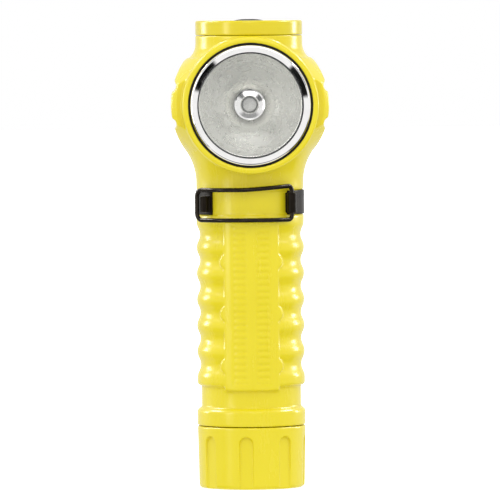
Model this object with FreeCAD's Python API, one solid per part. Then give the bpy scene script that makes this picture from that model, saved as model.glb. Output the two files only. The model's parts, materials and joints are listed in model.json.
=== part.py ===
import FreeCAD, Part
import math
import os

# Right-angle hand lamp for firefighters, standing on its tail cap.
# Millimetres. The origin is the centre of the tail cap's flat underside, +Z runs up the
# battery barrel and the lens looks along -Y.
# Names ending in _R are radii, _Z heights and _Y places along the lens axis.

V = FreeCAD.Vector
X_AXIS = V(1, 0, 0)
Y_AXIS = V(0, 1, 0)
Z_AXIS = V(0, 0, 1)

# --- driving dimensions -------------------------------------------------------------------
TOTAL_H = 138.0             # underside of the tail cap to the rim of the switch cap
BARREL_R = 15.85            # plain neck between grip and head
FIT = 0.05                  # radial gap of a running or push fit
PAST = 1.0                  # how far a cutter runs past the face that it cuts

# tail cap and its screw joint
CAP_H = 18.3
CAP_TOP_R = 15.97
CAP_FOOT_R = 15.6
CAP_FLOOR = 3.0
CAP_EDGE = 1.0
SEAL_BORE_R = 13.45
SEAL_LAND_Z = 15.0
THREAD_PITCH = 2.0
THREAD_MALE_R = 13.0
THREAD_CORE_R = 12.2
THREAD_NUT_R = 13.2
THREAD_NUT_CREST_R = 12.4
THREAD_ROOT_W = 1.1
THREAD_CREST_W = 0.5
THREAD_Z = 7.4
THREAD_TURNS = 3.5
FLUTE_COUNT = 8
FLUTE_W = 4.1
FLUTE_TOP_Z = 15.5
FLUTE_FLOOR_R = 15.0
FLUTE_TURN = -97.0          # direction of the flute nearest the front, from +X
NUT_FLOOR_Z = 5.8
NUT_FLOOR_R = 12.1
RIDGE_Z = THREAD_Z + 0.6
RIDGE_SINK = 0.05           # how deep a thread's root is sunk in the wall that carries it
ORING_GROOVE_R = 11.5
ORING_GROOVE_Z = (16.1, 18.1)
ORING_R = 0.9
ORING_CENTRE_R = 12.4

# cells, end to end: two standard 17 x 34.5 mm lithium cells
CELL_R = 8.5
CELL_L = 34.5
CELL_FOOT_Z = 9.0
SLEEVE_T = 0.12
CAN_T = 0.4
CAN_L = 33.2
CAN_FOOT_EDGE = 0.6
CAN_TOP_EDGE = 1.0
TERMINAL_R = 3.2
TERMINAL_EDGE = 0.4

# contacts at both ends of the cells
CUP_R = 12.0
CUP_TOP_Z = 5.9
CUP_WALL = 0.8
CUP_FLOOR_T = 0.6
SPRING_WIRE_R = 0.45
SPRING_PITCH = 1.45
SPRING_H = 4.35
SPRING_FOOT_R = 6.6
SPRING_TAPER = -20
LINING_FOOT_Z = 6.1
LINING_FOOT_R = 11.6
LINING_T = 0.4
LINING_TOP_Z = 83.9
CARRIER_Z = 79.6
CARRIER_R = 9.1
CONTACT_Z = 78.1
CONTACT_HEAD_R = 3.0
CONTACT_HEAD_TOP_Z = 79.5
CONTACT_PIN_R = 2.0

# driver board, its parts and the leads
DRIVER_Z = 84.0
DRIVER_TOP_Z = 85.6
DRIVER_R = 9.4
LED_LEAD_X = 1.6
LED_LEAD_R = 0.5
SWITCH_LEAD_R = 0.45
SWITCH_LEAD_Y = -6.6

# lower end of the body
SPIGOT_Z = 6.5
SPIGOT_EDGE = 0.4
BORE_R = 9.6
SHOULDER_Z = 18.5
COLLAR_TOP_Z = 23.7
COLLAR_EDGE = 0.8
WAIST_R = 14.7

# grip
GRIP_Z = 30.3
GRIP_CREST_R = 15.9
GRIP_FOOT_EDGE = 0.8
GROOVE_R = 14.9
GROOVE_FIRST_Z = 36.4
GROOVE_PITCH = 7.68
GROOVE_COUNT = 6
PANEL_HALF_W = 8.0
PANEL_LOBE_X = 9.2
PANEL_LOBE_R = 2.3
PANEL_R = 16.05
PANEL_Z = 29.2
PANEL_TOP_Z = 78.8
FIELD_X = (1.35, 5.6)       # each side of the panel has a sunk field, from this x to that
FIELD_Z = (31.0, 77.6)
FIELD_DEPTH = 0.3
RIB_X = (1.75, 5.2)         # short cross ribs stand in each field
RIB_PITCH = 1.94
RIB_T = 0.95
RIB_R = 16.0

# clip seat
SEAT_R = 15.4
SEAT_Z = 80.6
SEAT_TOP_Z = 88.2

# head
HEAD_Z = 113.2
CHEEK_R = 23.2
CHEEK_FRONT_Y = -18.0
CHEEK_TOP_Z = 127.0
CHEEK_FOOT_Z = 99.75
CHEEK_FOOT_R = 18.9
NECK_Z = 90.2
RIM_R = 20.0
RIM_Y = -24.5
BACK_Y = 17.8
NOTCH_ANGLE = 13.5
NOTCH_R = 2.0
NOTCH_CENTRE_R = 24.25
SHOULDER_R = 18.3           # top of the head, where the cheeks turn in to the switch

# seats bored along the lens axis, from the front
BEZEL_SEAT_R = 18.3
BEZEL_SEAT_Y = -21.2
LENS_SEAT_R = 17.6
LENS_SEAT_Y = -19.0
CHAMBER_R = 15.6
SINK_Y = -4.0
SINK_BORE_R = 13.0
SINK_END_Y = 12.4
BOARD_Y = -5.2
BOARD_R = 11.4
SCREW_X = 9.5
SCREW_HEAD_R = 1.6
SCREW_HEAD_T = 1.2
SCREW_R = 1.0
SCREW_END_Y = -0.6
SCREW_SLOT_HALF = 0.25
SCREW_SLOT_DEPTH = 0.7
PACKAGE_HALF = 2.5
PACKAGE_T = 0.7
DOME_R = 2.4

# lens and the plated ring in front of it
LENS_R = 17.1
LENS_Y = -22.6
LENS_BACK_Y = -20.7
BEZEL_R = 17.7
BEZEL_INNER_R = 15.6
BEZEL_GASKET_R = (17.72, 18.25)
LENS_GASKET_INNER_R = 15.3

# reflector: a paraboloid, radius squared grows in proportion to depth
REFLECTOR_BASE_R = 4.6
REFLECTOR_BASE_Y = -5.5
REFLECTOR_FRONT_Y = -20.0
REFLECTOR_FRONT_R = 14.95
REFLECTOR_WALL = 0.7
REFLECTOR_STEPS = 8
REFLECTOR_BEAD = 0.17       # half width of the rounded bead along its front edge
HUB_R = 4.5                 # plated collar round the emitter
HUB_HEIGHT = 2.3
HUB_FALL = 0.45             # how far its face falls from the crest to the valley
HUB_LIP = 0.2               # how far the outer lip rises again
HUB_CREST_R = 2.8
HUB_VALLEY_R = 4.05
HUB_HOLE_R = 2.5
HUB_LEDGE = 0.9             # thickness of the ledge that clears the emitter's base
HUB_LEDGE_R = 3.65

# switch at the top
SWITCH_SEAM_Z = 133.6
SWITCH_CAP_R = 15.8
SWITCH_BORE_R = 12.8
SWITCH_FLOOR_Z = 130.0
WELL_R = 10.2
WELL_Z = 118.0
BUTTON_HOLE_R = 5.9
BUTTON_R = 5.5
BUTTON_TOP_Z = 138.35
BOOT_FLANGE_R = 8.0
BOOT_FLANGE_Z = 135.0
BOOT_FLANGE_T = 0.95
BOOT_WALL = 0.9
CAP_LIP = 2.0
CAP_HOLLOW_R = 11.2
CAP_GROOVE_R = 11.9
CAP_GROOVE_Z = (131.5, 132.9)
CAP_ORING_R = 0.45
CARRIER_RING_R = 11.1
LEDGE_T = 0.9
SWITCH_BOARD_Z = 131.0
SWITCH_BOARD_TOP_Z = 132.0
SWITCH_BOARD_R = 8.2
SWITCH_HALF = 3.1
SWITCH_H = 2.4
STEM_R = 1.5
STEM_Z = 133.9
STEM_TOP_Z = 135.6
PLUNGER_R = 3.2

# gear clip and its closing bail
STRIP_T = 0.65
BAND_Z = 80.9
BAND_TOP_Z = 87.9
BAND_END = 45.0             # each end of the band lies this far from the middle of its mouth
MOUTH_TURN = -1.0           # the mouth of the band lies this far round from straight ahead
HINGE_X = 12.3
HINGE_Y = -12.5
WIRE_R = 0.65
EYE_R = 1.35
CATCH_X = -13.6
CATCH_Y = -11.5
CATCH_R = 1.13
BAIL_X = -15.6
BAIL_Y = -10.9
BAIL_Z = 79.4
BAIL_TOP_Z = 88.3
BAIL_HINGE_TOP_Z = 89.4
BAIL_RISE = 0.6             # the upper wire climbs this much towards the hinge
ARM_W = 9.0
ARM_SPINE = ((15.4, 87.9), (15.4, 84.6), (20.9, 77.6), (20.9, 52.0), (16.7, 40.2), (19.4, 33.6))
ARM_BENDS = (0, 3, 4, 14, 3, 0)


# --- helpers ------------------------------------------------------------------------------
def outline(start, *moves):
    """Closed wire of (u, v, 0) points: a move is an end point, or (middle, end) for an arc."""
    here = V(*start, 0)
    edges = []
    for move in moves + (start,):
        is_arc = isinstance(move[0], tuple)
        there = V(*(move[1] if is_arc else move), 0)
        if is_arc:
            edges.append(Part.Arc(here, V(*move[0], 0), there).toShape())
        elif (there - here).Length > 1e-6:
            edges.append(Part.LineSegment(here, there).toShape())
        here = there
    return Part.Wire(edges)


def turned(start, *moves):
    """Solid turned about the barrel axis from an outline of (radius, z) points."""
    face = Part.Face(outline(start, *moves))
    face.rotate(V(), X_AXIS, 90)
    return face.revolve(V(), Z_AXIS, 360)


def faced(start, *moves):
    """Solid turned about the lens axis from an outline of (radius, y) points."""
    face = Part.Face(outline(start, *moves))
    solid = face.revolve(V(), Y_AXIS, 360)
    solid.translate(V(0, 0, HEAD_Z))
    return solid


def post(radius, low_z, top_z, x=0.0, y=0.0):
    return Part.makeCylinder(radius, top_z - low_z, V(x, y, low_z), Z_AXIS)


def ring(outer_r, inner_r, low_z, top_z):
    return post(outer_r, low_z, top_z).cut(post(inner_r, low_z - PAST, top_z + PAST))


def disc(radius, front_y, back_y, x=0.0):
    """Round plug along the lens axis."""
    return Part.makeCylinder(radius, back_y - front_y, V(x, front_y, HEAD_Z), Y_AXIS)


def washer(outer_r, inner_r, front_y, back_y):
    return disc(outer_r, front_y, back_y).cut(disc(inner_r, front_y - PAST, back_y + PAST))


def block(low, high):
    size = V(*high) - V(*low)
    return Part.makeBox(size.x, size.y, size.z, V(*low))


def polar(radius, degrees):
    turn = math.radians(degrees)
    return (radius * math.cos(turn), radius * math.sin(turn))


def sector(radius, low_z, top_z, from_angle, to_angle):
    """Wedge of a round bar between two directions, measured from +X."""
    wedge = Part.makeCylinder(radius, top_z - low_z, V(0, 0, low_z), Z_AXIS, to_angle - from_angle)
    wedge.rotate(V(), Z_AXIS, from_angle)
    return wedge


def bent_path(points, radii):
    """Straight runs through the points, joined by tangent arcs of the given radii."""
    corners = [V(*p) for p in points]
    edges = []
    here = corners[0]
    for i in range(1, len(corners) - 1):
        back = (corners[i - 1] - corners[i]).normalize()
        ahead = (corners[i + 1] - corners[i]).normalize()
        half = back.getAngle(ahead) / 2
        reach = radii[i] / math.tan(half)
        inward = (back + ahead).normalize()
        enter = corners[i] + back * reach
        leave = corners[i] + ahead * reach
        middle = corners[i] + inward * (radii[i] / math.sin(half) - radii[i])
        edges.append(Part.LineSegment(here, enter).toShape())
        edges.append(Part.Arc(enter, middle, leave).toShape())
        here = leave
    edges.append(Part.LineSegment(here, corners[-1]).toShape())
    return Part.Wire(edges)


def wire_along(path, radius):
    """Round wire swept along a path, from the start of the path's first edge."""
    first = path.OrderedEdges[0]
    start = first.valueAt(first.FirstParameter)
    heading = first.tangentAt(first.FirstParameter)
    section = Part.Wire(Part.makeCircle(radius, start, heading))
    return Part.Solid(path.makePipeShell([section], True, False))


def thread_ridge(root_r, crest_r, low_z):
    """Helical ridge of trapezium section; the crest may lie inside or outside the root."""
    height = THREAD_PITCH * THREAD_TURNS
    corners = []
    for radius, width in ((root_r, THREAD_ROOT_W), (crest_r, THREAD_CREST_W)):
        for side in (-1, 1):
            corners.append((radius, low_z + side * width / 2))
    order = [corners[0], corners[2], corners[3], corners[1]]
    rails = []
    for radius, z in order:
        rail = Part.makeHelix(THREAD_PITCH, height, radius)
        rail.translate(V(0, 0, z))
        rails.append(rail)
    faces = []
    for i, rail in enumerate(rails):
        faces += Part.makeRuledSurface(rail, rails[(i + 1) % 4]).Faces
    for end_z, turn in ((0.0, 0.0), (height, 360.0 * THREAD_TURNS)):
        ends = [V(*polar(radius, turn), z + end_z) for radius, z in order]
        faces.append(Part.Face(Part.makePolygon(ends + ends[:1])))
    shell = Part.makeShell(faces)
    shell.sewShape()
    ridge = Part.Solid(shell)
    if ridge.Volume < 0:
        ridge.reverse()
    return ridge


# --- body ---------------------------------------------------------------------------------
def grip_profile():
    """Right-hand outline of the barrel from the waist up to the clip seat."""
    middle_r = (GRIP_CREST_R + GROOVE_R) / 2
    near_crest_r = GRIP_CREST_R - 0.1
    edge = GRIP_FOOT_EDGE
    quarter = GROOVE_PITCH / 4
    lower_z = GROOVE_FIRST_Z - quarter
    upper_z = GROOVE_FIRST_Z + GROOVE_PITCH * (GROOVE_COUNT - 1) + quarter
    moves = [(WAIST_R, GRIP_Z), (GRIP_CREST_R - edge, GRIP_Z)]
    moves.append(((GRIP_CREST_R - 0.3 * edge, GRIP_Z + 0.3 * edge), (GRIP_CREST_R, GRIP_Z + edge)))
    moves.append((GRIP_CREST_R, lower_z - quarter))
    moves.append(((near_crest_r, lower_z - quarter / 2), (middle_r, lower_z)))
    for i in range(GROOVE_COUNT):
        z = GROOVE_FIRST_Z + i * GROOVE_PITCH
        moves.append(((GROOVE_R, z), (middle_r, z + quarter)))
        if i < GROOVE_COUNT - 1:
            moves.append(((GRIP_CREST_R, z + 2 * quarter), (middle_r, z + 3 * quarter)))
    moves.append(((near_crest_r, upper_z + quarter / 2), (GRIP_CREST_R, upper_z + quarter)))
    moves.append((GRIP_CREST_R, SEAT_Z))
    return moves


def spigot_profile():
    """The threaded end, its seal groove and the collar, up to the waist."""
    groove_z, groove_top_z = ORING_GROOVE_Z
    relief_r = THREAD_CORE_R
    return [
        (relief_r - SPIGOT_EDGE, SPIGOT_Z), (relief_r, SPIGOT_Z + SPIGOT_EDGE),
        (relief_r, groove_z - 0.9), (THREAD_MALE_R, groove_z - 0.7), (THREAD_MALE_R, groove_z),
        (ORING_GROOVE_R, groove_z), (ORING_GROOVE_R, groove_top_z),
        (THREAD_MALE_R, groove_top_z), (THREAD_MALE_R, SHOULDER_Z), (CAP_TOP_R, SHOULDER_Z),
        (CAP_TOP_R, COLLAR_TOP_Z - COLLAR_EDGE), (CAP_TOP_R - COLLAR_EDGE, COLLAR_TOP_Z),
        (WAIST_R, COLLAR_TOP_Z),
    ]


def head_profile():
    """From the clip seat up the flared neck, round the head and in to the switch."""
    flare_middle = (16.63, 95.22)
    throat_middle = (16.3, 128.9)
    return [
        (SEAT_R, SEAT_Z), (SEAT_R, SEAT_TOP_Z), (BARREL_R, SEAT_TOP_Z), (BARREL_R, NECK_Z),
        (flare_middle, (CHEEK_FOOT_R, CHEEK_FOOT_Z)), (CHEEK_FOOT_R, CHEEK_TOP_Z - 0.8),
        (SHOULDER_R, CHEEK_TOP_Z - 0.2), (SHOULDER_R - 0.9, CHEEK_TOP_Z + 0.3),
        (throat_middle, (SWITCH_CAP_R, 131.2)), (SWITCH_CAP_R, SWITCH_SEAM_Z), (0, SWITCH_SEAM_Z),
    ]


def barrel_solid():
    """Everything turned about the barrel axis, filled solid."""
    return turned((0, SPIGOT_Z), *spigot_profile(), *grip_profile(), *head_profile())


def panel_field(side):
    """Cutter that sinks one field of the panel and leaves short cross ribs standing in it."""
    near_x, far_x = sorted(side * x for x in FIELD_X)
    floor = post(PANEL_R - FIELD_DEPTH, 0, TOTAL_H)
    reach = 2 * PANEL_R
    cutter = block((near_x, 0, FIELD_Z[0]), (far_x, reach, FIELD_Z[1])).cut(floor)
    near_x, far_x = sorted(side * x for x in RIB_X)
    rib_post = post(RIB_R, 0, TOTAL_H)
    count = int((FIELD_Z[1] - FIELD_Z[0]) / RIB_PITCH)
    ribs = []
    for i in range(count):
        z = FIELD_Z[0] + (i + 0.5) * RIB_PITCH - RIB_T / 2
        ribs.append(block((near_x, 0, z), (far_x, reach, z + RIB_T)))
    return cutter.cut(Part.makeCompound(ribs).common(rib_post))


def grip_panel():
    """Raised panel down the back of the grip, with a rounded lobe beside every other groove."""
    core = post(PANEL_R, PANEL_Z, PANEL_TOP_Z)
    reach = 2 * PANEL_R
    strip = block((-PANEL_HALF_W, 0, PANEL_Z), (PANEL_HALF_W, reach, PANEL_TOP_Z))
    lobes = []
    for i in range(0, GROOVE_COUNT, 2):
        z = GROOVE_FIRST_Z + i * GROOVE_PITCH
        for side in (-1, 1):
            x = side * (PANEL_LOBE_X - PANEL_LOBE_R)
            lobes.append(Part.makeCylinder(PANEL_LOBE_R, reach, V(x, 0, z), Y_AXIS))
    panel = strip.fuse(lobes).common(core)
    return panel.cut(post(WAIST_R - 0.5, 0, TOTAL_H))


def front_panel():
    """The same panel at the front, with two sunk and ribbed fields."""
    panel = grip_panel().cut([panel_field(-1), panel_field(1)])
    panel.rotate(V(), Z_AXIS, 180)
    return panel


def field_recess():
    """Cutter that sinks the same fields into the grip behind the front panel."""
    recess = panel_field(-1).fuse(panel_field(1))
    recess.rotate(V(), Z_AXIS, 180)
    return recess


def cheeks():
    """Wide drum behind the lens rim: its notches stop the lamp from rolling."""
    drum = faced(
        (0, CHEEK_FRONT_Y), (CHEEK_R - 1.4, CHEEK_FRONT_Y), (CHEEK_R, CHEEK_FRONT_Y + 1.6),
        (CHEEK_R, 2.0), ((20.4, 11.5), (14.5, BACK_Y)), (0, BACK_Y))
    for side in (0, 180):
        for tilt in (-NOTCH_ANGLE, NOTCH_ANGLE):
            x, z = polar(NOTCH_CENTRE_R, side + tilt)
            cutter = Part.makeCylinder(NOTCH_R, 60, V(x, -30, HEAD_Z + z), Y_AXIS)
            drum = drum.cut(cutter)
    spread_r = CHEEK_R * 1.5
    trimmer = turned(
        (0, CHEEK_FOOT_Z), (CHEEK_FOOT_R, CHEEK_FOOT_Z), (spread_r, CHEEK_FOOT_Z + 14),
        (spread_r, CHEEK_TOP_Z - 13), (SHOULDER_R, CHEEK_TOP_Z), (0, CHEEK_TOP_Z))
    return drum.common(trimmer)


def lens_rim():
    edge = 0.7
    return faced((0, RIM_Y), (RIM_R - edge, RIM_Y),
                 ((RIM_R - 0.3 * edge, RIM_Y + 0.3 * edge), (RIM_R, RIM_Y + edge)),
                 (RIM_R, 0), (0, 0))


def body_hollows():
    return [
        post(BORE_R, SPIGOT_Z - PAST, HEAD_Z - SINK_BORE_R + PAST),
        disc(BEZEL_SEAT_R, RIM_Y - PAST, BEZEL_SEAT_Y),
        disc(LENS_SEAT_R, RIM_Y - PAST, LENS_SEAT_Y),
        disc(CHAMBER_R, RIM_Y - PAST, SINK_Y),
        disc(SINK_BORE_R, SINK_Y - PAST, SINK_END_Y),
        post(WELL_R, WELL_Z, SWITCH_FLOOR_Z + PAST),
        post(SWITCH_BORE_R, SWITCH_FLOOR_Z, SWITCH_SEAM_Z + PAST),
    ]


def body_shell():
    flat_back = block((-40, -40, 0), (40, BACK_Y, TOTAL_H + 10))
    additions = [front_panel(), grip_panel(), cheeks(), lens_rim()]
    solid = barrel_solid().common(flat_back).cut(field_recess()).fuse(additions).removeSplitter()
    solid = solid.cut(body_hollows())
    return solid.fuse(thread_ridge(THREAD_CORE_R - RIDGE_SINK, THREAD_MALE_R, RIDGE_Z))


# --- tail cap -----------------------------------------------------------------------------
def flute_cutter(turn):
    half = FLUTE_W / 2
    depth = CAP_TOP_R + PAST - FLUTE_FLOOR_R
    round_z = FLUTE_TOP_Z - half
    slot = block((FLUTE_FLOOR_R, -half, -PAST), (FLUTE_FLOOR_R + depth, half, round_z))
    top = Part.makeCylinder(half, depth, V(FLUTE_FLOOR_R, 0, round_z), X_AXIS)
    cutter = slot.fuse(top)
    cutter.rotate(V(), Z_AXIS, turn)
    return cutter


def tail_cap():
    edge = CAP_EDGE
    lip = 0.3
    cap = turned(
        (0, 0), (CAP_FOOT_R - edge, 0), ((CAP_FOOT_R - 0.3 * edge, 0.3 * edge), (CAP_FOOT_R, edge)),
        (CAP_TOP_R, CAP_H - lip), (CAP_TOP_R - lip, CAP_H), (SEAL_BORE_R, CAP_H),
        (SEAL_BORE_R, SEAL_LAND_Z), (THREAD_NUT_R, SEAL_LAND_Z - lip),
        (THREAD_NUT_R, NUT_FLOOR_Z + lip), (NUT_FLOOR_R, NUT_FLOOR_Z), (NUT_FLOOR_R, CAP_FLOOR),
        (0, CAP_FLOOR))
    for i in range(FLUTE_COUNT):
        cap = cap.cut(flute_cutter(FLUTE_TURN + i * 360.0 / FLUTE_COUNT))
    ridge_z = RIDGE_Z - THREAD_PITCH / 2
    return cap.fuse(thread_ridge(THREAD_NUT_R + RIDGE_SINK, THREAD_NUT_CREST_R, ridge_z))


def tail_cap_oring():
    return Part.makeTorus(ORING_CENTRE_R, ORING_R, V(0, 0, sum(ORING_GROOVE_Z) / 2), Z_AXIS)


def tail_contact_cup():
    floor_z = CAP_FLOOR + CUP_FLOOR_T
    return turned((0, CAP_FLOOR), (CUP_R, CAP_FLOOR), (CUP_R, CUP_TOP_Z),
                  (CUP_R - CUP_WALL, CUP_TOP_Z), (CUP_R - CUP_WALL, floor_z), (0, floor_z))


def tail_spring():
    coil = Part.makeHelix(SPRING_PITCH, SPRING_H, SPRING_FOOT_R, SPRING_TAPER)
    coil.translate(V(0, 0, CAP_FLOOR + CUP_FLOOR_T + SPRING_WIRE_R + FIT))
    first = coil.OrderedEdges[0]
    start = first.valueAt(first.FirstParameter)
    heading = first.tangentAt(first.FirstParameter)
    section = Part.Wire(Part.makeCircle(SPRING_WIRE_R, start, heading))
    return Part.Solid(coil.makePipeShell([section], True, True))


# --- power --------------------------------------------------------------------------------
def cell_can(low_z):
    can_r = CELL_R - SLEEVE_T
    top = low_z + CAN_L
    foot = CAN_FOOT_EDGE
    edge = CAN_TOP_EDGE
    can = turned(
        (0, low_z), (can_r - foot, low_z), ((can_r - 0.3 * foot, low_z + 0.3 * foot),
                                            (can_r, low_z + foot)),
        (can_r, top - edge), ((can_r - 0.3 * edge, top - 0.3 * edge), (can_r - edge, top)), (0, top))
    return can.cut(cell_core(low_z))


def cell_core(low_z):
    """Wound electrodes and separator that fill the can."""
    core_r = CELL_R - SLEEVE_T - CAN_TOP_EDGE
    return post(core_r, low_z + CAN_T, low_z + CAN_L - 2 * CAN_T)


def cell_sleeve(low_z):
    """Shrunk film round the can's straight wall."""
    return ring(CELL_R, CELL_R - SLEEVE_T, low_z + CAN_FOOT_EDGE, low_z + CAN_L - CAN_TOP_EDGE)


def cell_terminal(low_z):
    base_z = low_z + CAN_L
    top_z = low_z + CELL_L
    edge = TERMINAL_EDGE
    return turned((0, base_z), (TERMINAL_R, base_z), (TERMINAL_R, top_z - edge),
                  (TERMINAL_R - edge, top_z), (0, top_z))


def battery_tube():
    """Metal lining that carries the return current, flanged over the end of the spigot."""
    outer_r = BORE_R - FIT
    inner_r = outer_r - LINING_T
    return turned((inner_r, LINING_FOOT_Z), (LINING_FOOT_R, LINING_FOOT_Z),
                  (LINING_FOOT_R, SPIGOT_Z), (outer_r, SPIGOT_Z), (outer_r, LINING_TOP_Z),
                  (inner_r, LINING_TOP_Z))


def contact_carrier():
    return ring(CARRIER_R, CONTACT_PIN_R + FIT, CARRIER_Z, DRIVER_Z)


def front_contact():
    head = post(CONTACT_HEAD_R, CONTACT_Z, CONTACT_HEAD_TOP_Z)
    return head.fuse(post(CONTACT_PIN_R, CONTACT_HEAD_TOP_Z, DRIVER_Z))


def driver_board():
    return post(DRIVER_R, DRIVER_Z, DRIVER_TOP_Z)


def driver_inductor():
    core = block((-3, -1, DRIVER_TOP_Z), (3, 5, DRIVER_TOP_Z + 3))
    upright = [edge for edge in core.Edges if abs(edge.tangentAt(0).z) > 0.9]
    return core.makeFillet(1.0, upright)


def driver_chips():
    top = DRIVER_TOP_Z
    return Part.makeCompound([
        block((-7.0, -3.5, top), (-4.0, 0.5, top + 1.4)),
        block((4.0, -3.0, top), (7.0, 0.0, top + 1.0)),
        block((-1.0, -3.4, top), (1.0, -2.2, top + 1.2)),
    ])


def led_lead(side):
    """Straight lead from the driver board up to the edge of the LED board."""
    return post(LED_LEAD_R, DRIVER_TOP_Z, HEAD_Z - 9.2, side * LED_LEAD_X, BOARD_Y - LED_LEAD_R - FIT)


def switch_lead(side):
    """Lead that climbs from the driver board round the reflector to the switch board."""
    route = [(3.0, DRIVER_TOP_Z), (3.0, 97.8), (10.2, 101.8), (13.4, HEAD_Z), (10.0, 124.0),
             (2.0, 127.2), (2.0, SWITCH_BOARD_Z)]
    bends = [0, 5, 9, 12, 5, 1.5, 0]
    corners = [(side * x, SWITCH_LEAD_Y, z) for x, z in route]
    return wire_along(bent_path(corners, bends), SWITCH_LEAD_R)


# --- head ---------------------------------------------------------------------------------
def heat_sink():
    """Round slug behind the LED board, tapped for the board's screws."""
    hole_r = SCREW_R + FIT / 2
    screw_holes = [disc(hole_r, SINK_Y - PAST, SCREW_END_Y + 0.2, x) for x in (-SCREW_X, SCREW_X)]
    return disc(SINK_BORE_R - FIT, SINK_Y + 0.1, SINK_END_Y).cut(screw_holes)


def led_board():
    hole_r = SCREW_R + 3 * FIT
    screw_holes = [disc(hole_r, BOARD_Y - PAST, 0, x) for x in (-SCREW_X, SCREW_X)]
    return disc(BOARD_R, BOARD_Y, SINK_Y + 0.1).cut(screw_holes)


def board_screws():
    screws = []
    half = SCREW_SLOT_HALF
    slot_y = BOARD_Y - SCREW_SLOT_DEPTH
    for x in (-SCREW_X, SCREW_X):
        head = disc(SCREW_HEAD_R, BOARD_Y - SCREW_HEAD_T, BOARD_Y, x)
        shank = disc(SCREW_R, BOARD_Y - FIT, SCREW_END_Y, x)
        slot = block((x - 2, BOARD_Y - 2, HEAD_Z - half), (x + 2, slot_y, HEAD_Z + half))
        screws.append(head.fuse(shank).cut(slot))
    return Part.makeCompound(screws)


def led_package():
    half = PACKAGE_HALF
    return block((-half, BOARD_Y - PACKAGE_T, HEAD_Z - half), (half, BOARD_Y, HEAD_Z + half))


def led_dome():
    face_y = BOARD_Y - PACKAGE_T
    ball = Part.makeSphere(DOME_R, V(0, face_y, HEAD_Z))
    return ball.common(block((-5, face_y - 5, HEAD_Z - 5), (5, face_y, HEAD_Z + 5)))


def led_centring_ring():
    """Plated collar on the LED board: its face falls away from the dome to a raised lip."""
    crest_y = BOARD_Y - HUB_HEIGHT
    valley_y = crest_y + HUB_FALL
    lip_y = valley_y - HUB_LIP
    foot_y = BOARD_Y - FIT
    ledge_y = BOARD_Y - HUB_LEDGE
    return faced((HUB_R, foot_y), (HUB_R, lip_y), (HUB_VALLEY_R, valley_y),
                 (HUB_CREST_R, crest_y), (HUB_HOLE_R, crest_y + HUB_LIP), (HUB_HOLE_R, ledge_y),
                 (HUB_LEDGE_R, ledge_y), (HUB_LEDGE_R, foot_y))


def reflector():
    depth = REFLECTOR_BASE_Y - REFLECTOR_FRONT_Y
    slope = (REFLECTOR_FRONT_R ** 2 - REFLECTOR_BASE_R ** 2) / depth
    inner = []
    outer = []
    for i in range(REFLECTOR_STEPS + 1):
        step = depth * (i / REFLECTOR_STEPS) ** 1.5
        radius = math.sqrt(REFLECTOR_BASE_R ** 2 + slope * step)
        y = REFLECTOR_BASE_Y - step
        inner.append(V(radius, y, 0))
        outer.append(V(radius + REFLECTOR_WALL, min(y + REFLECTOR_WALL / 2, REFLECTOR_BASE_Y), 0))
    flange_y = LENS_SEAT_Y - FIT
    outer = [p for p in outer if p.y > flange_y + 0.8]
    inside = Part.BSplineCurve()
    inside.interpolate(inner)
    outside = Part.BSplineCurve()
    outside.interpolate(outer)
    rim_r = LENS_SEAT_R - 0.3
    neck = V(CHAMBER_R - 0.1, flange_y, 0)
    bead_middle = inner[-1] + V(REFLECTOR_BEAD, -REFLECTOR_BEAD, 0)
    bead_end = inner[-1] + V(2 * REFLECTOR_BEAD, 0, 0)
    corners = [bead_end, V(rim_r, REFLECTOR_FRONT_Y, 0), V(rim_r, flange_y, 0), neck, outer[-1]]
    edges = [inside.toShape(), Part.Arc(inner[-1], bead_middle, bead_end).toShape()]
    edges += [Part.LineSegment(a, b).toShape() for a, b in zip(corners, corners[1:])]
    edges += [outside.toShape(), Part.LineSegment(outer[0], inner[0]).toShape()]
    face = Part.Face(Part.Wire(Part.__sortEdges__(edges)))
    solid = face.revolve(V(), Y_AXIS, 360)
    solid.translate(V(0, 0, HEAD_Z))
    return solid


def lens():
    return disc(LENS_R, LENS_Y, LENS_BACK_Y)


def lens_gasket():
    return washer(LENS_R, LENS_GASKET_INNER_R, LENS_BACK_Y, REFLECTOR_FRONT_Y)


def bezel_ring():
    """Plated ring: a rounded outer shoulder, then a broad bevel down to the lens."""
    foot_y = BEZEL_SEAT_Y - FIT
    lens_front_y = LENS_Y - FIT
    pocket_r = LENS_R + 2 * FIT
    inner_r = BEZEL_INNER_R
    return faced(
        (BEZEL_R, foot_y), (BEZEL_R, RIM_Y + 0.5),
        ((BEZEL_R - 0.2, RIM_Y - 0.05), (BEZEL_R - 0.75, RIM_Y - 0.25)),
        ((inner_r + 0.75, RIM_Y + 0.3), (inner_r, RIM_Y + 1.0)), (inner_r, lens_front_y),
        (pocket_r, lens_front_y), (pocket_r, foot_y))


def bezel_gasket():
    inner_r, outer_r = BEZEL_GASKET_R
    return washer(outer_r, inner_r, RIM_Y + 0.35, BEZEL_SEAT_Y - FIT)


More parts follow.
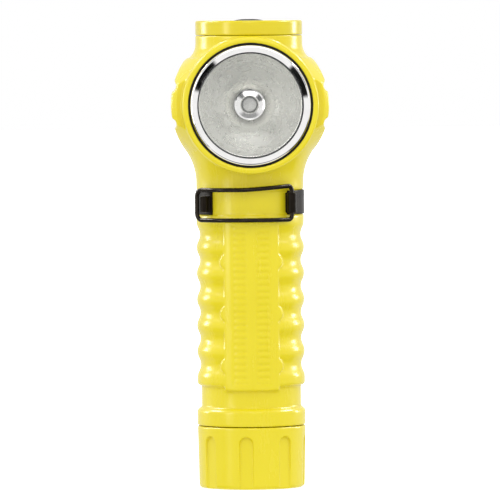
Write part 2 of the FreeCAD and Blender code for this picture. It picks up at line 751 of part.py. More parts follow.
# --- switch -------------------------------------------------------------------------------
def switch_cap():
    edge = 0.5
    skirt_r = SWITCH_BORE_R - FIT
    foot_z = SWITCH_FLOOR_Z + 0.2
    seam_z = SWITCH_SEAM_Z + 0.1
    groove_z, groove_top_z = CAP_GROOVE_Z
    return turned(
        (BUTTON_HOLE_R, TOTAL_H - CAP_LIP), (BUTTON_HOLE_R, TOTAL_H - edge),
        (BUTTON_HOLE_R + edge, TOTAL_H), (SWITCH_CAP_R - edge, TOTAL_H),
        ((SWITCH_CAP_R - 0.3 * edge, TOTAL_H - 0.3 * edge), (SWITCH_CAP_R, TOTAL_H - edge)),
        (SWITCH_CAP_R, seam_z), (skirt_r, seam_z), (skirt_r, groove_top_z),
        (CAP_GROOVE_R, groove_top_z), (CAP_GROOVE_R, groove_z), (skirt_r, groove_z),
        (skirt_r, foot_z), (CAP_HOLLOW_R, foot_z), (CAP_HOLLOW_R, TOTAL_H - CAP_LIP))


def switch_cap_oring():
    middle_z = sum(CAP_GROOVE_Z) / 2
    return Part.makeTorus(SWITCH_BORE_R - CAP_ORING_R, CAP_ORING_R, V(0, 0, middle_z), Z_AXIS)


def switch_boot():
    """Rubber button cover: a domed top over a thin skirt, held by a flange under the cap."""
    top = BUTTON_TOP_Z
    skirt_z = BOOT_FLANGE_Z + BOOT_FLANGE_T
    inner_r = BUTTON_R - BOOT_WALL
    return turned(
        (0, top - 1.0), (0, top), ((3.2, top - 0.12), (BUTTON_R - 0.6, top - 0.5)),
        ((BUTTON_R - 0.1, top - 0.8), (BUTTON_R, top - 1.3)), (BUTTON_R, skirt_z),
        (BOOT_FLANGE_R, skirt_z), (BOOT_FLANGE_R, BOOT_FLANGE_Z), (inner_r, BOOT_FLANGE_Z),
        (inner_r, top - 1.4), (3.3, top - 1.0))


def switch_carrier():
    """Plastic ring that clamps the boot's flange against the cap and holds the board."""
    clamp_z = BOOT_FLANGE_Z - 0.02
    wall_r = 8.3
    clamp_r = 6.9
    ledge_r = 7.4
    ledge_foot_z = SWITCH_BOARD_Z - LEDGE_T
    return turned((CARRIER_RING_R, ledge_foot_z), (CARRIER_RING_R, clamp_z), (clamp_r, clamp_z),
                  (clamp_r, clamp_z - 1.0), (wall_r, clamp_z - 1.4), (wall_r, SWITCH_BOARD_Z),
                  (ledge_r, SWITCH_BOARD_Z), (ledge_r, ledge_foot_z))


def switch_board():
    return post(SWITCH_BOARD_R, SWITCH_BOARD_Z, SWITCH_BOARD_TOP_Z)


def tactile_switch():
    """Sealed push switch on the board, open at the top for its stem."""
    half = SWITCH_HALF
    top = SWITCH_BOARD_TOP_Z + SWITCH_H
    box = block((-half, -half, SWITCH_BOARD_TOP_Z), (half, half, top))
    return box.cut(post(STEM_R + 2 * FIT, SWITCH_BOARD_TOP_Z + 0.5, top + PAST))


def switch_stem():
    return post(STEM_R, STEM_Z, STEM_TOP_Z)


def switch_plunger():
    return post(PLUNGER_R, STEM_TOP_Z, BUTTON_TOP_Z - 1.0)


# --- gear clip ----------------------------------------------------------------------------
def clip_band():
    outer_r = SEAT_R + STRIP_T
    mouth = -90 + MOUTH_TURN
    wedge = sector(outer_r, BAND_Z, BAND_TOP_Z, mouth + BAND_END, mouth + 360 - BAND_END)
    return wedge.cut(post(SEAT_R, 0, TOTAL_H))


def rolled_end(x, y, outer_r, low_z, top_z):
    """Strip end rolled up beside the mouth, with a short web back to the band."""
    web = block((SEAT_R, -STRIP_T, low_z), (math.hypot(x, y), STRIP_T, top_z))
    web.rotate(V(), Z_AXIS, math.degrees(math.atan2(y, x)))
    end = post(outer_r, low_z, top_z, x, y).fuse(web)
    end.rotate(V(), Z_AXIS, MOUTH_TURN)
    return end


def clip_arm():
    """Spring arm down the back: out over the grip, in to touch it, and out again at the lip."""
    inner = bent_path([(0, y, z) for y, z in ARM_SPINE], ARM_BENDS)
    outer = inner.makeOffset2D(-STRIP_T, join=2, openResult=True, fill=True)
    arm = outer.extrude(V(ARM_W, 0, 0))
    arm.translate(V(-ARM_W / 2, 0, 0))
    return arm


def gear_clip():
    pin_hole = post(WIRE_R + FIT, BAND_Z, BAND_TOP_Z, HINGE_X, HINGE_Y)
    pin_hole.rotate(V(), Z_AXIS, MOUTH_TURN)
    eye = rolled_end(HINGE_X, HINGE_Y, EYE_R, BAND_Z + 0.5, BAND_TOP_Z - 0.6)
    catch = rolled_end(CATCH_X, CATCH_Y, CATCH_R, BAND_Z + 0.9, BAND_TOP_Z - 1.5)
    return clip_band().fuse([eye.cut(pin_hole), catch, clip_arm()]).removeSplitter()


def clip_bail():
    """Closed loop of round wire: one leg turns in the hinge eye, the other snaps over the catch."""
    middle_z = (BAIL_Z + BAIL_TOP_Z) / 2
    halves = []
    for wire_z, rise, hinge_z in ((BAIL_Z, 0.0, BAIL_Z), (BAIL_TOP_Z, BAIL_RISE, BAIL_HINGE_TOP_Z)):
        corners = [
            (HINGE_X, HINGE_Y, middle_z), (HINGE_X, HINGE_Y, hinge_z), (6.8, -16.9, wire_z + rise),
            (-1.5, -18.4, wire_z), (-9.6, -16.5, wire_z), (BAIL_X, BAIL_Y, wire_z),
            (BAIL_X, BAIL_Y, middle_z),
        ]
        halves.append(wire_along(bent_path(corners, [0, 1.3, 13, 13, 13, 2.0, 0]), WIRE_R))
    bail = halves[0].fuse(halves[1]).removeSplitter()
    bail.rotate(V(), Z_AXIS, MOUTH_TURN)
    return bail


def parts():
    rear_z = CELL_FOOT_Z
    front_z = CELL_FOOT_Z + CELL_L
    return {
        "body_shell": body_shell(),
        "tail_cap": tail_cap(),
        "tail_cap_oring": tail_cap_oring(),
        "tail_contact_cup": tail_contact_cup(),
        "tail_spring": tail_spring(),
        "cell_rear_can": cell_can(rear_z),
        "cell_rear_core": cell_core(rear_z),
        "cell_rear_sleeve": cell_sleeve(rear_z),
        "cell_rear_terminal": cell_terminal(rear_z),
        "cell_front_can": cell_can(front_z),
        "cell_front_core": cell_core(front_z),
        "cell_front_sleeve": cell_sleeve(front_z),
        "cell_front_terminal": cell_terminal(front_z),
        "battery_tube": battery_tube(),
        "contact_carrier": contact_carrier(),
        "front_contact": front_contact(),
        "driver_board": driver_board(),
        "driver_inductor": driver_inductor(),
        "driver_chips": driver_chips(),
        "led_lead_positive": led_lead(1),
        "led_lead_negative": led_lead(-1),
        "switch_lead_right": switch_lead(1),
        "switch_lead_left": switch_lead(-1),
        "heat_sink": heat_sink(),
        "led_board": led_board(),
        "board_screws": board_screws(),
        "led_package": led_package(),
        "led_dome": led_dome(),
        "led_centring_ring": led_centring_ring(),
        "reflector": reflector(),
        "lens": lens(),
        "lens_gasket": lens_gasket(),
        "bezel_ring": bezel_ring(),
        "bezel_gasket": bezel_gasket(),
        "switch_cap": switch_cap(),
        "switch_cap_oring": switch_cap_oring(),
        "switch_boot": switch_boot(),
        "switch_plunger": switch_plunger(),
        "switch_stem": switch_stem(),
        "tactile_switch": tactile_switch(),
        "switch_board": switch_board(),
        "switch_carrier": switch_carrier(),
        "gear_clip": gear_clip(),
        "clip_bail": clip_bail(),
    }


os.makedirs("parts", exist_ok=True)
for node, shape in parts().items():
    box = shape.BoundBox
    print(f"{node:20s} solids {len(shape.Solids)} valid {shape.isValid()} volume {shape.Volume:8.1f}"
          f"  low {box.XMin:.2f} {box.YMin:.2f} {box.ZMin:.2f}"
          f"  high {box.XMax:.2f} {box.YMax:.2f} {box.ZMax:.2f}")
    shape.exportStep(f"parts/{node}.step")
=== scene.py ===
import json
import math

import bmesh
import bpy
from mathutils import Matrix, Vector


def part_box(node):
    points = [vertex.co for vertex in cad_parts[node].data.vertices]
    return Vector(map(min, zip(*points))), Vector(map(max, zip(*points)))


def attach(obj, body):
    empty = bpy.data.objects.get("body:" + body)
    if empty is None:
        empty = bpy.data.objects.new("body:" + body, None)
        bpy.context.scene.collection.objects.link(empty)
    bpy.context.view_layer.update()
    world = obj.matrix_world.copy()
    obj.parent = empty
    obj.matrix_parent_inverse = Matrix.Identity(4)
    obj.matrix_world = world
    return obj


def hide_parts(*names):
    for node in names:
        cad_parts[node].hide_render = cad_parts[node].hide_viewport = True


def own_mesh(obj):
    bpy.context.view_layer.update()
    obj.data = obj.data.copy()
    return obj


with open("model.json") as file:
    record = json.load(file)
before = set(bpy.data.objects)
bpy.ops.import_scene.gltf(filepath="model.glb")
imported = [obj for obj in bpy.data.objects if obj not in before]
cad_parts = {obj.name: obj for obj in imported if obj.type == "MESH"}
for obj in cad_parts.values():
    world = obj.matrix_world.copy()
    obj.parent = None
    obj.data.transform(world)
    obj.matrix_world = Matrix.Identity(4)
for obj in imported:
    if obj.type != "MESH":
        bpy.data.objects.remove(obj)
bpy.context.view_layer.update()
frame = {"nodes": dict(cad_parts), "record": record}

MM = 0.001
NODES = frame["nodes"]
RECORD = frame["record"]
BODY_OF = {node: body for body, nodes in RECORD["behaviour"]["bodies"].items() for node in nodes}
SLOT_OF = {part["node"]: part["material_slot"] for part in RECORD["subparts"]}

# ------------------------------------------------------------------ places read from the frame
LENS_LOW, LENS_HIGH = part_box("lens")
COLLAR_LOW, COLLAR_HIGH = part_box("led_centring_ring")
HEAD_Z = (LENS_LOW.z + LENS_HIGH.z) / 2     # height of the lens axis, which runs along Y


# ------------------------------------------------------------------ material helpers
AXIS_REACH = 16 * MM        # distance from the lens axis that from_axis() calls 1


class Look:
    """One procedural material: its nodes, and short calls that add and join them."""

    def __init__(self, name, **sockets):
        self.material = bpy.data.materials.new(name)
        self.material.use_nodes = True
        self.tree = self.material.node_tree
        self.shader = self.tree.nodes["Principled BSDF"]
        self.place = self.node("ShaderNodeTexCoord").outputs["Object"]
        for socket, value in sockets.items():
            self.shader.inputs[socket.replace("_", " ")].default_value = value

    def node(self, kind, **settings):
        made = self.tree.nodes.new(kind)
        for key, value in settings.items():
            socket = key.replace("_", " ")
            if socket in made.inputs:
                made.inputs[socket].default_value = value
            else:
                setattr(made, key, value)
        return made

    def join(self, source, target):
        self.tree.links.new(source, target)

    def mapped(self, stretch=(1, 1, 1), shift=(0, 0, 0)):
        mapping = self.node("ShaderNodeMapping")
        mapping.inputs["Scale"].default_value = stretch
        mapping.inputs["Location"].default_value = shift
        self.join(self.place, mapping.inputs["Vector"])
        return mapping.outputs["Vector"]

    def noise(self, size, detail=3.0, stretch=(1, 1, 1), rough=0.55):
        """Noise whose features are about size metres across, longer where stretch is small."""
        noise = self.node("ShaderNodeTexNoise", Scale=1 / size, Detail=detail, Roughness=rough)
        self.join(self.mapped(stretch), noise.inputs["Vector"])
        return noise.outputs["Fac"]

    def rings(self, pitch, distortion=0.0):
        """Waves in rings round the lens axis, one every pitch metres."""
        wave = self.node("ShaderNodeTexWave", wave_type="RINGS", rings_direction="Y",
                         Scale=math.pi / (10 * pitch), Distortion=distortion,
                         Detail=2.0, Detail_Scale=2.0)
        self.join(self.mapped(shift=(0, 0, -HEAD_Z)), wave.inputs["Vector"])
        return wave.outputs["Fac"]

    def from_axis(self):
        """Distance from the lens axis: 0 on it, 1 at AXIS_REACH."""
        flat = self.mapped(stretch=(1, 0, 1), shift=(0, 0, -HEAD_Z))
        length = self.node("ShaderNodeVectorMath", operation="LENGTH")
        self.join(flat, length.inputs[0])
        scaled = self.node("ShaderNodeMath", operation="DIVIDE")
        self.join(length.outputs["Value"], scaled.inputs[0])
        scaled.inputs[1].default_value = AXIS_REACH
        return scaled.outputs["Value"]

    def height(self, low, high, most):
        """0 below low, rising to most at high; both are heights over the lens axis."""
        parts = self.node("ShaderNodeSeparateXYZ")
        self.join(self.mapped(shift=(0, 0, -HEAD_Z)), parts.inputs["Vector"])
        rise = self.node("ShaderNodeMapRange", From_Min=low, From_Max=high, To_Max=most)
        self.join(parts.outputs["Z"], rise.inputs["Value"])
        return rise.outputs["Result"]

    def product(self, a, b):
        times = self.node("ShaderNodeMath", operation="MULTIPLY")
        self.join(a, times.inputs[0])
        self.join(b, times.inputs[1])
        return times.outputs["Value"]

    def edges(self):
        """0 in hollows, 0.5 on flat and 1 on sharp outer edges, from the mesh."""
        return self.node("ShaderNodeNewGeometry").outputs["Pointiness"]

    def ramp(self, source, *stops):
        """Maps 0..1 through (place, value) stops; a value is a grey or an RGB colour."""
        ramp = self.node("ShaderNodeValToRGB")
        elements = ramp.color_ramp.elements
        while len(elements) < len(stops):
            elements.new(0.5)
        for element, (place, value) in zip(elements, stops):
            rgb = value if isinstance(value, tuple) else (value,) * 3
            element.position = place
            element.color = (*rgb, 1)
        self.join(source, ramp.inputs["Fac"])
        return ramp.outputs["Color"]

    def mix(self, factor, a, b):
        """Colour a where the factor is 0, b where it is 1; each may be a socket or an RGB."""
        mix = self.node("ShaderNodeMix", data_type="RGBA")
        self.join(factor, mix.inputs["Factor"])
        for socket, value in zip(mix.inputs[6:8], (a, b)):
            if isinstance(value, tuple):
                socket.default_value = (*value, 1)
            else:
                self.join(value, socket)
        return mix.outputs[2]

    def colour(self, source):
        self.join(source, self.shader.inputs["Base Color"])

    def roughness(self, source):
        self.join(source, self.shader.inputs["Roughness"])

    def bump(self, *layers):
        """Stacks (height source, depth in metres) layers."""
        normal = None
        for source, depth in layers:
            bump = self.node("ShaderNodeBump", Strength=1.0, Distance=depth)
            self.join(source, bump.inputs["Height"])
            if normal is not None:
                self.join(normal, bump.inputs["Normal"])
            normal = bump.outputs["Normal"]
        self.join(normal, self.shader.inputs["Normal"])


def yellow_polymer(name, gloss, tone=1.0):
    """Moulded high-visibility nylon: fine grain, faint flow marks, scuffs, and painted shade
    darkening its hollows.
    """
    look = Look(name, IOR=1.47, Subsurface_Weight=0.06, Subsurface_Scale=0.003)
    look.shader.inputs["Subsurface Radius"].default_value = (1.0, 0.7, 0.15)
    broad = look.noise(0.02, detail=2.0)
    grain = look.noise(0.0005, detail=4.0)
    scuff = look.noise(0.006, detail=8.0, stretch=(1, 1, 0.25), rough=0.7)
    dark = tuple(tone * c for c in (0.770, 0.645, 0.012))
    light = tuple(tone * c for c in (0.810, 0.680, 0.016))
    base = look.ramp(broad, (0.3, dark), (0.7, light))
    worn = look.ramp(scuff, (0.60, 0.0), (0.80, 0.30))
    rubbed = look.mix(worn, base, (0.86, 0.72, 0.07))
    # painted shade: hollows and creases darkened from the mesh's pointiness
    painted_crease_shade = look.ramp(look.edges(), (0.42, 0.55), (0.49, 0.0))
    look.colour(look.mix(painted_crease_shade, rubbed, (0.60, 0.42, 0.008)))
    look.roughness(look.ramp(scuff, (0.35, gloss), (0.75, gloss + 0.12)))
    look.bump((grain, 0.000007), (look.noise(0.0035, detail=2.0), 0.00002))
    return look.material


def rubber(name):
    """Black silicone rubber with a little dust in its fine grain."""
    look = Look(name, Specular_IOR_Level=0.10)
    dust = look.noise(0.0022, detail=6.0, rough=0.7)
    look.colour(look.ramp(dust, (0.35, (0.006, 0.006, 0.006)), (0.8, (0.022, 0.022, 0.022))))
    look.roughness(look.ramp(dust, (0.3, 0.50), (0.8, 0.72)))
    look.bump((look.noise(0.0003), 0.000012))
    return look.material


def plated(name):
    """Bright plating with polishing haze and fine wipe marks round the ring."""
    look = Look(name, Metallic=1.0)
    film = look.noise(0.004, detail=5.0)
    look.colour(look.ramp(film, (0.3, (0.86, 0.85, 0.84)), (0.7, (0.93, 0.92, 0.91))))
    look.roughness(look.ramp(film, (0.3, 0.04), (0.75, 0.09)))
    look.bump((look.noise(0.0011, detail=6.0), 0.000003), (look.rings(0.00035, 4.0), 0.0000008))
    return look.material


def glass(name):
    """Clear window with a faint film on it."""
    look = Look(name, IOR=1.5, Alpha=0.07, Roughness=0.02)
    film = look.noise(0.01, detail=4.0)
    look.colour(look.ramp(film, (0.3, (0.92, 0.95, 0.95)), (0.7, (0.97, 0.98, 0.98))))
    return look.material


def metallised(name):
    """Vacuum-metallised bowl: hazy, with painted shade darker towards its top and round the
    emitter, bright on its bead.
    """
    look = Look(name, Metallic=1.0)
    patch = look.noise(0.003, detail=3.0)
    film = look.ramp(patch, (0.3, (0.91, 0.91, 0.86)), (0.7, (0.95, 0.95, 0.90)))
    radius = look.from_axis()
    # painted shade: the film darkened in a ring round the emitter
    painted_emitter_shade = look.ramp(radius, (0.30, 0.65), (0.42, 0.0))
    emitter_shaded_film = look.mix(painted_emitter_shade, film, (0.38, 0.38, 0.36))
    # painted shade: the bowl darkens upward from 2 mm below the lens axis to 9 mm above it
    thinning_and_painted_shade = look.height(-2 * MM, 9 * MM, 0.5)
    look.colour(look.mix(thinning_and_painted_shade, emitter_shaded_film, (0.50, 0.50, 0.46)))
    bead = look.ramp(radius, (0.930, 1.0), (0.934, 0.2))
    haze = look.ramp(patch, (0.3, 0.26), (0.7, 0.29))
    look.roughness(look.product(bead, haze))
    look.bump((look.rings(0.0012, 3.0), 0.000008), (patch, 0.000004))
    return look.material


def silicone(name):
    """Emitter's lens: clear silicone, milky over the phosphor, with painted shade darkening its
    outer edge.
    """
    look = Look(name, IOR=1.41, Alpha=0.85)
    milk = look.noise(0.0008, detail=3.0)
    milky = look.ramp(milk, (0.3, (0.66, 0.66, 0.64)), (0.75, (0.82, 0.82, 0.79)))
    # painted shade: a dark ring at the dome's outer edge
    painted_rim_shade = look.ramp(look.from_axis(), (0.110, 0.0), (0.135, 0.85))
    look.colour(look.mix(painted_rim_shade, milky, (0.22, 0.22, 0.21)))
    look.roughness(look.ramp(milk, (0.3, 0.06), (0.75, 0.12)))
    look.bump((milk, 0.000004))
    return look.material


def blackened_steel(name, gloss, shine):
    """Black oxide on steel, rubbed brown-grey on its edges."""
    look = Look(name, Specular_IOR_Level=shine)
    look.shader.inputs["Specular Tint"].default_value = (1.0, 0.86, 0.70, 1)
    patch = look.noise(0.003, detail=7.0, rough=0.65)
    base = look.ramp(patch, (0.35, (0.004, 0.003, 0.002)), (0.80, (0.016, 0.012, 0.009)))
    rubbed = look.ramp(look.edges(), (0.56, 0.0), (0.70, 0.5))
    look.colour(look.mix(rubbed, base, (0.045, 0.037, 0.031)))
    look.roughness(look.ramp(patch, (0.3, gloss), (0.8, gloss + 0.18)))
    look.bump((look.noise(0.0005, detail=4.0), 0.000004))
    return look.material


def plain(name, dark, light, rough, metallic=0.0, size=0.002):
    """A finish for small inner pieces: two close tones, uneven gloss and a fine grain."""
    look = Look(name, Metallic=metallic)
    patch = look.noise(size, detail=5.0)
    look.colour(look.ramp(patch, (0.3, dark), (0.75, light)))
    look.roughness(look.ramp(patch, (0.3, rough), (0.75, min(rough + 0.15, 1.0))))
    look.bump((look.noise(size / 6), 0.00001))
    return look.material


LOOKS = {
    "yellow_polymer": yellow_polymer("yellow polymer", 0.20),
    "yellow_polymer_cap": yellow_polymer("yellow polymer cap", 0.20),
    "yellow_polymer_ring": yellow_polymer("yellow polymer ring", 0.18, 0.92),
    "black_rubber": rubber("black rubber"),
    "plated_bezel": plated("plated bezel"),
    "lens_glass": glass("lens glass"),
    "reflector_metal": metallised("metallised bowl"),
    "black_steel": blackened_steel("blackened strip", 0.26, 0.10),
    "black_wire": blackened_steel("blackened wire", 0.16, 0.26),
    "spring_steel": plain("spring steel", (0.45, 0.45, 0.45), (0.6, 0.6, 0.6), 0.25, 1.0),
    "contact_brass": plain("contact brass", (0.62, 0.48, 0.2), (0.75, 0.6, 0.3), 0.25, 1.0),
    "lining_aluminium": plain("lining aluminium", (0.6, 0.6, 0.62), (0.72, 0.72, 0.74), 0.3, 1.0),
    "circuit_board": plain("circuit board", (0.01, 0.09, 0.03), (0.02, 0.13, 0.05), 0.35),
    "led_board_white": plain("white solder mask", (0.78, 0.78, 0.75), (0.86, 0.86, 0.84), 0.4),
    "led_ceramic": plain("emitter ceramic", (0.72, 0.70, 0.58), (0.84, 0.82, 0.7), 0.5),
    "led_silicone": silicone("emitter silicone"),
    "white_plastic": plain("white plastic", (0.72, 0.72, 0.70), (0.82, 0.82, 0.80), 0.4),
    "black_plastic": plain("black plastic", (0.015, 0.015, 0.016), (0.03, 0.03, 0.03), 0.4),
    "ferrite": plain("ferrite", (0.03, 0.03, 0.032), (0.06, 0.06, 0.06), 0.55),
    "red_insulation": plain("red insulation", (0.45, 0.01, 0.01), (0.55, 0.02, 0.02), 0.4),
    "black_insulation": plain("black insulation", (0.01, 0.01, 0.01), (0.025, 0.025, 0.025), 0.4),
    "cell_steel": plain("cell steel", (0.5, 0.5, 0.5), (0.62, 0.62, 0.62), 0.28, 1.0),
    "cell_film": plain("cell film", (0.02, 0.05, 0.2), (0.03, 0.07, 0.26), 0.22),
    "cell_core": plain("cell core", (0.02, 0.02, 0.02), (0.05, 0.05, 0.05), 0.7),
}


def dress(obj, look):
    obj.data.materials.clear()
    obj.data.materials.append(look)


for node, obj in NODES.items():
    dress(obj, LOOKS[SLOT_OF[node]])


# ------------------------------------------------------------------ pieces
def stand_in(name, mesh, node, body=None):
    """Puts a mesh in the scene as the piece that stands for a CAD node."""
    piece = bpy.data.objects.new(name, mesh)
    bpy.context.scene.collection.objects.link(piece)
    dress(piece, LOOKS[SLOT_OF[node]])
    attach(piece, body or BODY_OF[node])
    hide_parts(node)
    return piece


def applied(obj):
    """The object's mesh with its modifiers worked in; the modifiers are then removed."""
    depsgraph = bpy.context.evaluated_depsgraph_get()
    mesh = bpy.data.meshes.new_from_object(obj.evaluated_get(depsgraph))
    obj.modifiers.clear()
    obj.data = mesh
    return mesh


def triangles(mesh):
    return sum(len(face.vertices) - 2 for face in mesh.polygons)


MOST_TRIANGLES = 190000     # a softened piece is thinned to this many

# How finely each outer piece is rebuilt, and how many smoothing passes round its edges off.
SKINS = {
    "body_shell": (0.30 * MM, 5),
    "tail_cap": (0.22 * MM, 6),
    "switch_cap": (0.22 * MM, 4),
    "gear_clip": (0.13 * MM, 4),
    "clip_bail": (0.13 * MM, 4),
}
BOOT_SKIN = (0.12 * MM, 4)


def softened(node, voxel, passes):
    """A copy of a CAD node with the small radii that moulding or tumbling leaves on every edge."""
    work = bpy.data.objects.new(node + ".work", NODES[node].data.copy())
    bpy.context.scene.collection.objects.link(work)
    remesh = work.modifiers.new("remesh", "REMESH")
    remesh.mode = "VOXEL"
    remesh.voxel_size = voxel
    remesh.use_smooth_shade = True
    smooth = work.modifiers.new("smooth", "SMOOTH")
    smooth.factor = 0.5
    smooth.iterations = passes
    count = triangles(applied(work))
    if count > MOST_TRIANGLES:
        thinning_and_painted_shade = work.modifiers.new("thinning_and_painted_shade", "DECIMATE")
        thinning_and_painted_shade.ratio = MOST_TRIANGLES / count
        applied(work)
    mesh = work.data
    bpy.data.objects.remove(work)
    return mesh


for node, (voxel, passes) in SKINS.items():
    stand_in(node + "_skin", softened(node, voxel, passes), node)

TURNED_STEPS = 160          # steps round a turned piece
SHARP_ANGLE = math.radians(28)


def spun(node, profile):
    """Mesh turned about the lens axis from a closed outline of (radius, y) points in metres."""
    steps = [2 * math.pi * i / TURNED_STEPS for i in range(TURNED_STEPS)]
    points = [(r * math.cos(a), y, HEAD_Z + r * math.sin(a)) for a in steps for r, y in profile]
    count = len(profile)
    faces = []
    for i in range(TURNED_STEPS):
        here, there = i * count, (i + 1) % TURNED_STEPS * count
        for k in range(count):
            after = (k + 1) % count
            faces.append((here + k, here + after, there + after, there + k))
    mesh = bpy.data.meshes.new(node + "_turned")
    mesh.from_pydata(points, [], faces)
    shell = bmesh.new()
    shell.from_mesh(mesh)
    bmesh.ops.recalc_face_normals(shell, faces=shell.faces)
    shell.to_mesh(mesh)
    shell.free()
    mesh.shade_smooth()
    mesh.set_sharp_from_angle(angle=SHARP_ANGLE)
    return mesh


# the plated collar round the emitter
HOLE_R = 2.50 * MM          # hole for the dome
CREST_R = 2.80 * MM         # where the face stands furthest forward
VALLEY_R = 4.05 * MM        # where it is lowest, at the foot of the raised lip
LEDGE_R = 3.65 * MM         # recess at the back, for the emitter's base
LEDGE_DEPTH = 0.88 * MM
FACE_FALL = 0.31 * MM
LIP_SET_BACK = 0.11 * MM
CREST_ROUND = 0.2 * MM


def collar_outline():
    """The plated collar's section: a face sloping away from the dome to a raised lip."""
    outer = (COLLAR_HIGH.x - COLLAR_LOW.x) / 2
    front, foot = COLLAR_LOW.y, COLLAR_HIGH.y
    ledge = foot - LEDGE_DEPTH
    return [(outer, foot), (outer, front + LIP_SET_BACK), (VALLEY_R, front + FACE_FALL),
            (CREST_R, front), (HOLE_R, front + CREST_ROUND), (HOLE_R, ledge),
            (LEDGE_R, ledge), (LEDGE_R, foot)]


stand_in("led_collar", spun("led_centring_ring", collar_outline()), "led_centring_ring")

# The boot's flange stays clamped under the cap; only its dome sinks when it is pressed.
boot = stand_in("switch_boot_skin", softened("switch_boot", *BOOT_SKIN), "switch_boot", "lamp")
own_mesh(boot)


# ------------------------------------------------------------------ stage
FLOOR_SIZE = 12
FLOOR_GLOW = 0.45           # makes the floor show white


def stage_floor():
    """Plain pale floor that sends no light or reflection back to the lamp."""
    bpy.ops.mesh.primitive_plane_add(size=FLOOR_SIZE, location=(0, 0, 0))
    floor = bpy.context.object
    floor.name = "floor"
    look = Look("pale floor", Roughness=0.7, Specular_IOR_Level=0.2)
    look.colour(look.ramp(look.noise(0.4), (0.3, (0.90, 0.90, 0.90)), (0.7, (0.93, 0.93, 0.93))))
    look.shader.inputs["Emission Color"].default_value = (1, 1, 1, 1)
    look.shader.inputs["Emission Strength"].default_value = FLOOR_GLOW
    dress(floor, look.material)
    floor.visible_glossy = False
    floor.visible_diffuse = False


MIDDLE = Vector((0, 0, 0.07))       # of the lamp; the lights are aimed at it


def soft_box(name, place, size, power):
    """Rectangular light in watts and metres, seen only as a sheen."""
    light = bpy.data.lights.new(name, "AREA")
    light.shape = "RECTANGLE"
    light.size, light.size_y = size
    light.energy = power
    lamp = bpy.data.objects.new(name, light)
    lamp.location = place
    lamp.rotation_mode = "QUATERNION"
    lamp.rotation_quaternion = (MIDDLE - Vector(place)).to_track_quat("-Z", "Y")
    lamp.visible_diffuse = False
    bpy.context.scene.collection.objects.link(lamp)


LOW_LIGHT, HIGH_LIGHT = 0.98, 1.42  # what matt surfaces receive from below and from above
FRONT_LIGHT = 0.99                  # what glossy ones reflect from in front; it is 1 elsewhere
CARD = 0.01                         # a dark card

# Patches that only glossy surfaces see, in degrees: angle round the lens axis, angle off it,
# half width of the core, half width with the soft edge; then strength.
PATCHES = ((90, 29, 11, 20, 3.5), (-90, 32, 14, 26, 0.25), (-90, 50, 4, 9, CARD),
           (131, 33, 6, 11, CARD), (31, 33, 6, 11, CARD),
           (-33, 62, 15, 20, CARD), (-33, 82, 15, 20, CARD), (-33, 98, 15, 20, CARD),
           (-52, 45, 6, 11, CARD), (207, 66, 15, 20, CARD), (207, 86, 15, 20, CARD))


def direction_to(round_axis, off_axis):
    """Unit vector at these angles from the way the lens faces, -Y."""
    a, b = math.radians(round_axis), math.radians(off_axis)
    return (math.sin(b) * math.cos(a), -math.cos(b), math.sin(b) * math.sin(a))


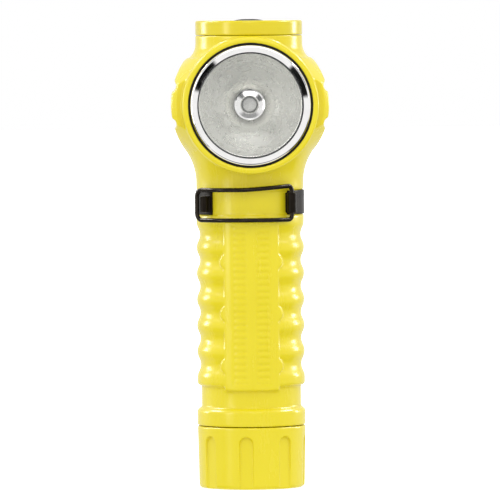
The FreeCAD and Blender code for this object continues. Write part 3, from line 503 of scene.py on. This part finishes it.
def studio_world():
    """White for the camera, brighter above for matt surfaces, with patches for glossy ones."""
    world = bpy.data.worlds.new("studio")
    world.use_nodes = True
    tree = world.node_tree
    background = tree.nodes["Background"]
    direction = tree.nodes.new("ShaderNodeTexCoord").outputs["Generated"]
    rays = tree.nodes.new("ShaderNodeLightPath").outputs

    def chosen(factor, otherwise, value):
        """The value (a number or a socket) where the factor is 1, the other socket at 0."""
        pick = tree.nodes.new("ShaderNodeMix")
        tree.links.new(factor, pick.inputs["Factor"])
        tree.links.new(otherwise, pick.inputs["A"])
        if isinstance(value, bpy.types.NodeSocket):
            tree.links.new(value, pick.inputs["B"])
        else:
            pick.inputs["B"].default_value = value
        return pick.outputs["Result"]

    def patch(towards, edge, core, outside, inside):
        """The inside value within core degrees of a direction, the outside one past edge."""
        dot = tree.nodes.new("ShaderNodeVectorMath")
        dot.operation = "DOT_PRODUCT"
        dot.inputs[1].default_value = towards
        tree.links.new(direction, dot.inputs[0])
        scale = tree.nodes.new("ShaderNodeMapRange")
        scale.interpolation_type = "SMOOTHSTEP"
        limits = (math.cos(math.radians(edge)), math.cos(math.radians(core)), outside, inside)
        for socket, value in zip(scale.inputs[1:5], limits):
            socket.default_value = value
        tree.links.new(dot.outputs["Value"], scale.inputs["Value"])
        return scale.outputs["Result"]

    strength = patch(direction_to(0, 0), 78, 26, 1.0, FRONT_LIGHT)
    for round_axis, off_axis, core, edge, light in PATCHES:
        product = tree.nodes.new("ShaderNodeMath")
        product.operation = "MULTIPLY"
        tree.links.new(strength, product.inputs[0])
        tree.links.new(patch(direction_to(round_axis, off_axis), edge, core, 1.0, light),
                       product.inputs[1])
        strength = product.outputs["Value"]
    from_above = patch((0, 0, 1), 95, 45, LOW_LIGHT, HIGH_LIGHT)
    strength = chosen(rays["Is Diffuse Ray"], strength, from_above)
    strength = chosen(rays["Is Camera Ray"], strength, 1.0)
    tree.links.new(strength, background.inputs["Strength"])
    background.inputs["Color"].default_value = (1, 1, 1, 1)
    bpy.context.scene.world = world


def studio():
    studio_world()
    for side, name in ((-1, "left"), (1, "right")):
        soft_box(name + "_back", (side * 0.90, 0.42, 0.25), (0.20, 0.32), 3)
        soft_box(name + "_high", (side * 0.72, 0.22, 0.76), (0.50, 0.18), 8)
    soft_box("left_front", (-0.80, -0.66, 0.20), (0.20, 0.8), 2.5)
    bpy.context.scene.view_settings.view_transform = "Standard"


DISTANCE = 2.05
SENSOR_WIDTH = 36           # in millimetres, as the lens is
FRAME_WIDTH = 0.14785       # what the image spans at the lamp
CAMERA_Z = 0.142
AIM = Vector((-0.0001, 0, 0.0701))
ROLL = math.radians(0.45)
SIDE = math.radians(1.0)    # the camera stands this far round towards -X


def camera():
    data = bpy.data.cameras.new("camera")
    data.sensor_width = SENSOR_WIDTH
    data.lens = SENSOR_WIDTH * DISTANCE / FRAME_WIDTH
    data.clip_start, data.clip_end = 0.1, 20
    cam = bpy.data.objects.new("camera", data)
    cam.location = (-DISTANCE * math.sin(SIDE), -DISTANCE * math.cos(SIDE), CAMERA_Z)
    cam.rotation_mode = "QUATERNION"
    facing = (AIM - cam.location).to_track_quat("-Z", "Y")
    cam.rotation_quaternion = facing @ Matrix.Rotation(-ROLL, 4, "Z").to_quaternion()
    bpy.context.scene.collection.objects.link(cam)
    bpy.context.scene.camera = cam


stage_floor()
studio()
camera()
